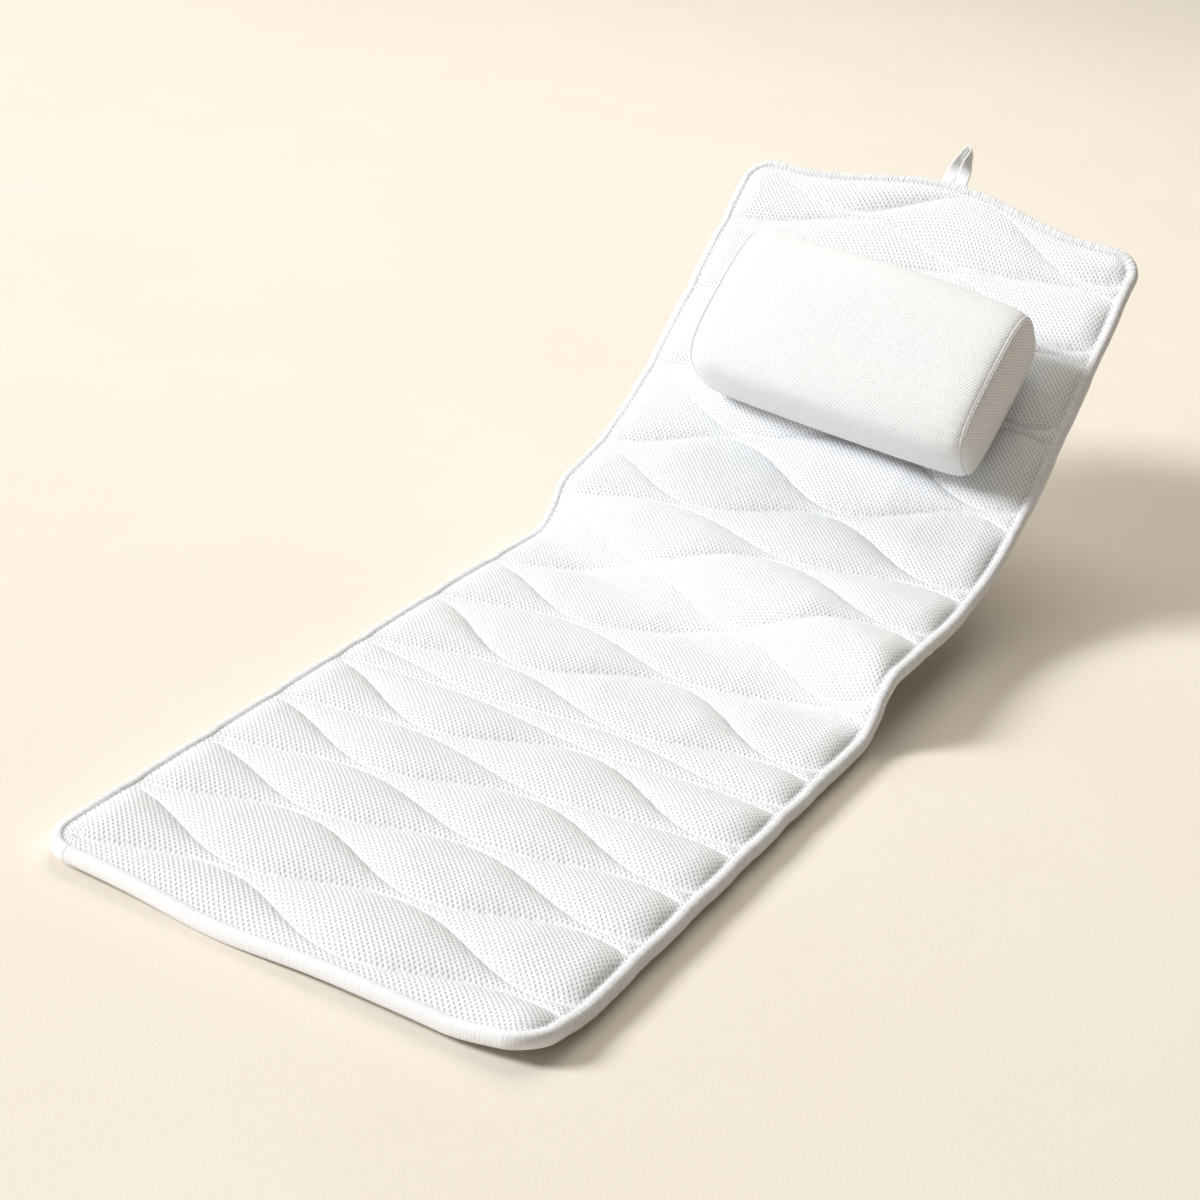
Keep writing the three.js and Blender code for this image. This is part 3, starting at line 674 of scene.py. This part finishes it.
cup_rubber.colour(cup_rubber.blend(haze.between(0.35, 0.7), milky, milky_shade))
cup_rubber.feed(cup_rubber.shader, {"Roughness": 0.26 + specks * 0.2})
cup_rubber.raised(specks * 0.5 + haze * 0.5, cup_relief)


def leaning(x, y, z, turn, place):
    """Points tipped about the X axis by an angle and then moved to a place."""
    tipped = np.broadcast_arrays(x, y * np.cos(turn) - z * np.sin(turn), y * np.sin(turn) + z * np.cos(turn))
    return (np.stack(tipped, -1) + place).reshape(-1, 3)


def suction_cup(name, x, station):
    """The cup's profile turned round its own axis, set square to the mat at one place."""
    turn = np.linspace(0, 2 * np.pi, cup_sides, endpoint=False)[None, :]
    radius, rise = cup_profile[:, 0:1], cup_profile[:, 1:2]
    flat_x, flat_y = radius * np.cos(turn), radius * np.sin(turn)
    points = leaning(flat_x, flat_y, rise, slope(x, station), on_mat(x, station, 0.0))
    rows = len(cup_profile)
    cup = made(name, points, woven(rows, cup_sides, round_across=True), None, tube_ends(rows, cup_sides))
    cup.data.materials.append(cup_rubber.material)
    return cup


for label, cup_rows in (("seat", seat_cup_rows), ("back", back_cup_rows)):
    places = [(column * mat_width, row * mat_length) for row in cup_rows for column in cup_columns]
    for number, (x, station) in enumerate(places, 1):
        cup = suction_cup(f"{label}_suction_cup_{number}", x, station)
        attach(cup, f"{label}_section")
        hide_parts(f"{label}_cup_{number}")

# Head pillow
# A stuffed pillow with a flat base and a rounded back, in a fine white knit. The cover is one
# piece wrapped round the filling, with an end panel sewn in at each end over a piped seam.
pillow_width = 0.282
pillow_depth = 0.156
pillow_height = 0.092
pillow_x = 0.011
pillow_station = 0.8312 * mat_length
pillow_turn = np.radians(-2.5)
pillow_lift = 0.0032
chord_reach = 0.065
pillow_sides = 144
top_power = 3.2
base_power = 4.4
base_sag = 0.0050
sag_from = 0.056
sag_width = 0.014
sag_rise = 0.034
drawn_in = 0.955
pipe_radius = 0.0016
panel_dome = 0.007
seam_half = pillow_width / 2 - panel_dome - pipe_radius
chord_start = on_mat(pillow_x, pillow_station - chord_reach, seam_top + puff_rise)
chord_end = on_mat(pillow_x, pillow_station + chord_reach, seam_top + puff_rise)
chord_middle = (chord_start + chord_end) / 2
chord = chord_end - chord_start
chord_turn = np.arctan2(chord[2], chord[1])
pillow_place = (
    Matrix.Translation(chord_middle)
    @ Matrix.Rotation(chord_turn, 4, "X")
    @ Matrix.Translation((0, 0, pillow_lift))
    @ Matrix.Rotation(pillow_turn, 4, "Z")
)
pillow_matrix = np.array(pillow_place)


def on_back(points):
    """Points of the pillow's own frame set on the back's chord."""
    flat = np.asarray(points, float).reshape(-1, 3)
    return flat @ pillow_matrix[:3, :3].T + pillow_matrix[:3, 3]


def pillow_section(shrink, drawn):
    """Rings of a long oval |v/a|^p + |w/b|^p = 1, fuller below than above, whose base settles
    beside the strips until it rests on the pad."""
    angle = (np.arange(pillow_sides) + 0.5) / pillow_sides * 2 * np.pi
    power = np.where(np.sin(angle) > 0, 2 / top_power, 2 / base_power)
    side = signed_power(np.cos(angle), power)
    up = signed_power(np.sin(angle), power)
    shrink, drawn = np.asarray(shrink)[..., None], np.asarray(drawn)[..., None]
    v = side * (pillow_depth / 2 - shrink) * drawn
    w = pillow_height / 2 * drawn + up * (pillow_height / 2 - shrink) * drawn
    sunk = base_sag * eased((np.abs(v) - sag_from) / sag_width) * eased(0.9 - w / sag_rise)
    return v, w - sunk


body_rows = 141
end_roll = 0.026
end_inset = 0.0042
nearly_closed = 0.985
tuck_depth = 0.0013
tuck_reach = 0.003
pucker_depth = 0.00045
pucker_fade = 0.016
pucker_pitch = 0.0016
pucker_sway = 0.02
lump_depth = 0.0007
lump_length = 0.031
lump_sway = 0.05
lump_round = 0.027
lump_rise = 0.02
drawn_at_seam = mixed(1, drawn_in, (seam_half / (pillow_width / 2)) ** 2)
body_x = seam_half * np.sin(np.linspace(-np.pi / 2, np.pi / 2, body_rows))
to_seam = seam_half - np.abs(body_x)
drawn = mixed(1, drawn_in, (body_x / (pillow_width / 2)) ** 2)
inset = end_inset * (1 - np.sqrt(1 - (nearly_closed * np.clip(1 - to_seam / end_roll, 0, 1)) ** 2))
v, w = pillow_section(inset, drawn)
around = np.hypot(np.diff(v[body_rows // 2]), np.diff(w[body_rows // 2]))
ring_length = np.concatenate([[0], np.cumsum(around)])[None, :]
tuck = tuck_depth * np.exp(-((to_seam / tuck_reach) ** 1.3))[:, None]
pull = (np.exp(-to_seam / pucker_fade) * np.clip(to_seam / tuck_reach, 0, 1))[:, None]
puckers = pucker_depth * pull * np.sin(ring_length / pucker_pitch + 2 * np.sin(ring_length / pucker_sway))
long_lumps = np.sin(body_x[:, None] / lump_length + 1.3 * np.sin(ring_length / lump_sway))
lumps = lump_depth * long_lumps * np.sin(ring_length / lump_round)
above = np.clip(w / lump_rise, 0, 1)
inward_push = tuck - (puckers + lumps) * above
middle_w = pillow_height / 2 * drawn[:, None]
distance = np.hypot(v, w - middle_w)
v = v * (1 - inward_push / distance)
w = middle_w + (w - middle_w) * (1 - inward_push / distance)
cover_points = on_back(np.stack(np.broadcast_arrays(body_x[:, None], v, w), -1))
cover_cut = np.stack(np.broadcast_arrays(body_x[:, None], ring_length), -1).reshape(-1, 2) + cloth_from
cover_faces = woven(body_rows, pillow_sides, round_across=True)
cover_ends = tube_ends(body_rows, pillow_sides)
cover = made("pillow_cover_knit", cover_points, cover_faces, cover_cut, cover_ends)

knit_white = (0.945, 0.96, 0.98)
knit_shade = (0.67, 0.68, 0.705)
wale = 0.0030
course = wale * 0.8
knit_drift = 0.0008
knit_depth = 0.0007


def pillow_knit(name, strength):
    """Fine slanting knit: two crossed sets of ridges, the steeper one stronger, with soft mottling."""
    knit = Finish(name, roughness=0.88, **{"Sheen Weight": 0.2, "Sheen Roughness": 0.5})
    knit.lit_through(0.4, 0.005)
    flat, (across, along) = knit.cloth()
    wander = knit.clouds(flat, 90.0, 2.0)
    slant = (across + along * 0.62 + wander * knit_drift).wave(wale)
    cross = (across * 0.55 - along + wander * knit_drift).wave(course)
    pits = slant.between(0.35, 0.9) * cross.between(0.2, 0.9)
    fuzz = knit.clouds(flat, 1400.0, 2.0)
    # The pits between the ridges are darkened towards knit_shade as painted shade; the fuzz adds random
    # tone.
    knit.colour(knit.blend(pits * strength + fuzz * 0.08, knit_white, knit_shade))
    knit.raised((1 - pits) * 0.8 + fuzz * 0.3 + wander * 0.2, knit_depth)
    return knit.material


cover.data.materials.append(pillow_knit("pillow_knit", 0.75))
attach(cover, "head_pillow")
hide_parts("pillow_cover", "pillow_core")

panel_rings = 26
panel_from = 0.0010
panel_short = 0.0004
panel_cut_from = (0.2, 0.05)
# The end panels' copy paints the shade in the pits at full strength, the cover's at three quarters.
panel_knit = pillow_knit("panel_knit", 1.0)
for side_name, way in (("left", -1), ("right", 1)):
    t = np.linspace(0, 1, panel_rings)
    shrink_share = 1 - np.cos(t * np.pi / 2)
    rise = np.sin(t * np.pi / 2) ** 0.8
    v, w = pillow_section(end_inset, drawn_at_seam)
    keep = (1 - nearly_closed * shrink_share)[:, None]
    centre_w = pillow_height / 2 * drawn_at_seam
    panel_v = v[None, :] * keep
    panel_w = centre_w + (w[None, :] - centre_w) * keep
    outwards = way * (seam_half + panel_from + (panel_dome - panel_short) * rise)
    panel_points = on_back(np.stack(np.broadcast_arrays(outwards[:, None], panel_v, panel_w), -1))
    panel_cut = np.stack([panel_v, panel_w], -1).reshape(-1, 2) + panel_cut_from
    faces = woven(panel_rings, pillow_sides, round_across=True)
    panel_ends = tube_ends(panel_rings, pillow_sides)
    panel = made(f"pillow_panel_{side_name}", panel_points, faces, panel_cut, panel_ends)
    panel.data.materials.append(panel_knit)
    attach(panel, "head_pillow")
    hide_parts(f"pillow_end_{side_name}")

# Pillow piping
# A thin cord covered in the same knit and sewn into the seam between the cover and each panel.
pipe_sides = 12
pipe_sink = 0.0009
pipe_pitch = 0.0011
pipe_relief = 0.0003
pipe_girth_scale = 600
pipe_cut_from = (0.02, 0.02)
# Both colours are darker than the knit's: painted shade along the seam line; the twist pattern runs along
# the cord.
pipe_white_seam_shaded = (0.72, 0.72, 0.73)
pipe_shade = (0.48, 0.48, 0.48)
piping = Finish("piping_knit", roughness=0.85, **{"Sheen Weight": 0.2})
flat, (along, round_it) = piping.cloth()
twist = (along + round_it * 0.5).wave(pipe_pitch)
fuzz = piping.clouds(flat, 1200.0, 2.0)
piping.colour(piping.blend(twist * 0.3 + fuzz * 0.1, pipe_white_seam_shaded, pipe_shade))
piping.raised(twist * 0.7 + fuzz * 0.3, pipe_relief)
for side_name, way in (("left", -1), ("right", 1)):
    turn = np.linspace(0, 2 * np.pi, pipe_sides, endpoint=False)
    sunk_in = end_inset + pipe_sink - pipe_radius * np.sin(turn)
    outwards = way * seam_half + pipe_radius * np.cos(turn)
    v, w = pillow_section(sunk_in, np.full(pipe_sides, drawn_at_seam))
    pipe_points = on_back(np.stack(np.broadcast_arrays(outwards[:, None], v, w), -1))
    pipe_cut = np.stack(np.broadcast_arrays(ring_length, turn[:, None] / pipe_girth_scale), -1)
    pipe_cut = pipe_cut.reshape(-1, 2) + pipe_cut_from
    faces = woven(pipe_sides, pillow_sides, round_across=True, round_rows=True)
    pipe = made(f"pillow_pipe_{side_name}", pipe_points, faces, pipe_cut)
    pipe.data.materials.append(piping.material)
    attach(pipe, "head_pillow")
    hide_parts(f"pillow_piping_{side_name}")

# Hook and loop strips
# Two strips sewn under the pillow and two on the mat, woven flat with a nap on the meeting faces.
hook_gap_across = 0.0022
hook_gap_along = 0.0024
nap_depth = 0.0006
nap_white = (0.86, 0.86, 0.85)
nap_shade = (0.62, 0.62, 0.61)
strip_nap = Finish("strip_nap", roughness=0.9, **{"Sheen Weight": 0.3})
where, (across, along, up) = strip_nap.place()
nap = strip_nap.clouds(where, 1600.0, 3.0)
rows_of_hooks = across.wave(hook_gap_across) * (along + up).wave(hook_gap_along)
strip_nap.colour(strip_nap.blend(nap * 0.5 + rows_of_hooks * 0.3, nap_white, nap_shade))
strip_nap.raised(nap * 0.6 + rows_of_hooks * 0.4, nap_depth)
for strip in ("pillow_hook_strip", "mat_loop_strip"):
    for place in ("low", "high"):
        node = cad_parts[f"{strip}_{place}"]
        node.data.materials.clear()
        node.data.materials.append(strip_nap.material)

# Hanging loop
# A short length of the binding tape doubled into a loop. Its two ends lie side by side under the
# binding in the middle of the head edge, and its top is turned edge on.
loop_x = 0.0
loop_tall = 0.038
loop_tape = 0.012
loop_thick = 0.0020
loop_eye = 0.0055
loop_tail = 0.0021
loop_past_edge = 0.0038
loop_fold_gap = 0.001
loop_round_from = 0.8
loop_station = mat_length + hem + loop_past_edge
loop_steps = 97
loop_sides = 24
loop_cut_from = (0.1, 0.02)
t = np.linspace(0, 1, loop_steps)
side = np.where(t < 0.5, -1.0, 1.0)
rise = 1 - np.abs(2 * t - 1)
turned = eased(rise / 0.95) ** 1.3
twist = turned * np.pi / 2
spread = mixed((loop_tape + loop_fold_gap) / 2, (loop_eye + loop_thick) / 2, eased(rise / loop_round_from))
rounding = np.maximum((rise - loop_round_from) / (1 - loop_round_from), 0)
over = np.sqrt(np.maximum(1 - rounding**2, 0))
across_it = side * spread * over
loop_y = rise * (loop_tall + loop_tail) - loop_tail
along_it = np.stack([np.gradient(across_it), np.gradient(loop_y), np.zeros(loop_steps)], -1)
along_it /= np.linalg.norm(along_it, axis=1, keepdims=True)
broad = np.stack([np.cos(twist), np.zeros(loop_steps), -np.sin(twist)], -1)
thick = np.cross(along_it, broad)
thick /= np.linalg.norm(thick, axis=1, keepdims=True)
round_it = np.linspace(0, 2 * np.pi, loop_sides, endpoint=False)
ribbon_u = loop_tape / 2 * signed_power(np.cos(round_it), 0.35)
ribbon_v = loop_thick / 2 * signed_power(np.sin(round_it), 0.7)
loop_local = (
    np.stack([across_it, loop_y, np.zeros(loop_steps)], -1)[:, None, :]
    + broad[:, None, :] * ribbon_u[None, :, None]
    + thick[:, None, :] * ribbon_v[None, :, None]
)
loop_at = on_mat(loop_x, loop_station, hem_top / 2)
loop_turn = slope(loop_x, loop_station + head_bow)
loop_points = leaning(loop_local[..., 0], loop_local[..., 1], loop_local[..., 2], loop_turn, loop_at)
tape_run = np.concatenate([[0], np.cumsum(np.hypot(np.diff(across_it), np.diff(loop_y)))])
loop_cut = np.stack(np.broadcast_arrays(tape_run[:, None] / length_scale, ribbon_u[None, :]), -1)
loop_cut = loop_cut.reshape(-1, 2) + loop_cut_from
loop_faces = woven(loop_steps, loop_sides, round_across=True)
hanging = made("hanging_loop", loop_points, loop_faces, loop_cut, tube_ends(loop_steps, loop_sides))
hanging.data.materials.append(tape_knit.material)
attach(hanging, "hang_tape")
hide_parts("hang_loop")

# Floor, light and camera
# A plain cream floor, one large soft light from the front left, a weak soft one overhead, a faint
# warm fill, and the camera where the photograph was taken from.
floor_half = 6
plaster_depth = 0.0003
floor_cream = (0.85, 0.785, 0.69)
floor_light_cream = (0.87, 0.81, 0.72)
floor_corners = [(floor_half * x, floor_half * y, 0) for x, y in ((-1, -1), (1, -1), (1, 1), (-1, 1))]
floor_mesh = bpy.data.meshes.new("floor")
floor_mesh.from_pydata(floor_corners, [], [(0, 1, 2, 3)])
floor = bpy.data.objects.new("floor", floor_mesh)
bpy.context.scene.collection.objects.link(floor)
plaster = Finish("cream_plaster", roughness=0.7)
where, _ = plaster.place()
patches = plaster.clouds(where, 2.6, 5.0, 0.6)
grain = plaster.clouds(where, 300.0, 2.0)
plaster.colour(plaster.blend(patches.between(0.3, 0.7), floor_cream, floor_light_cream))
plaster.raised(patches * 0.5 + grain * 0.5, plaster_depth)
floor.data.materials.append(plaster.material)


def standing(right, up, back, place):
    """Matrix of a light or camera from its right, up and back directions and its place."""
    columns = [np.append(right, 0), np.append(up, 0), np.append(back, 0), np.append(place, 1)]
    return Matrix(np.column_stack(columns).tolist())


def area_light(name, place, aim, size, power, colour):
    """A square area light at one place, turned towards another."""
    light = bpy.data.lights.new(name, "AREA")
    light.size = size
    light.energy = power
    light.color = colour
    lamp = bpy.data.objects.new(name, light)
    place, aim = np.array(place, float), np.array(aim, float)
    back = (place - aim) / np.linalg.norm(place - aim)
    right = np.cross((0, 0, 1), back)
    right /= np.linalg.norm(right)
    lamp.matrix_world = standing(right, np.cross(back, right), back, place)
    bpy.context.scene.collection.objects.link(lamp)


daylight = (0.99, 0.995, 1.0)
ceiling_light = (1.0, 0.96, 0.89)
warm_fill = (1.0, 0.89, 0.73, 1)
area_light("key", place=(-7.7, -5.5, 6.0), aim=(0, 0, 0.1), size=3.0, power=1410.0, colour=daylight)
area_light("overhead", place=(-0.6, 1.8, 3.1), aim=(0, 0.2, 0.1), size=2.8, power=62.0, colour=ceiling_light)

world = bpy.data.worlds.new("room")
world.use_nodes = True
background = world.node_tree.nodes["Background"]
background.inputs["Color"].default_value = warm_fill
background.inputs["Strength"].default_value = 0.19
bpy.context.scene.world = world
bpy.context.scene.view_settings.view_transform = "Standard"

camera_place = (0.7102, -1.5611, 0.9044)
azimuth = np.radians(26.39)
elevation = np.radians(26.55)
roll = np.radians(7.01)
picture_width = 1200
focal_pixels = 2355.5
sensor_width = 36.0
ahead = np.array([-np.sin(azimuth), np.cos(azimuth), 0])
forward = ahead * np.cos(elevation) - np.array([0, 0, np.sin(elevation)])
level = np.array([np.cos(azimuth), np.sin(azimuth), 0])
upright = np.cross(level, forward)
right = level * np.cos(roll) + upright * np.sin(roll)
up = -level * np.sin(roll) + upright * np.cos(roll)
camera_data = bpy.data.cameras.new("camera")
camera_data.sensor_fit = "HORIZONTAL"
camera_data.sensor_width = sensor_width
camera_data.lens = focal_pixels / picture_width * sensor_width
camera = bpy.data.objects.new("camera", camera_data)
camera.matrix_world = standing(right, up, -forward, camera_place)
bpy.context.scene.collection.objects.link(camera)
bpy.context.scene.camera = camera
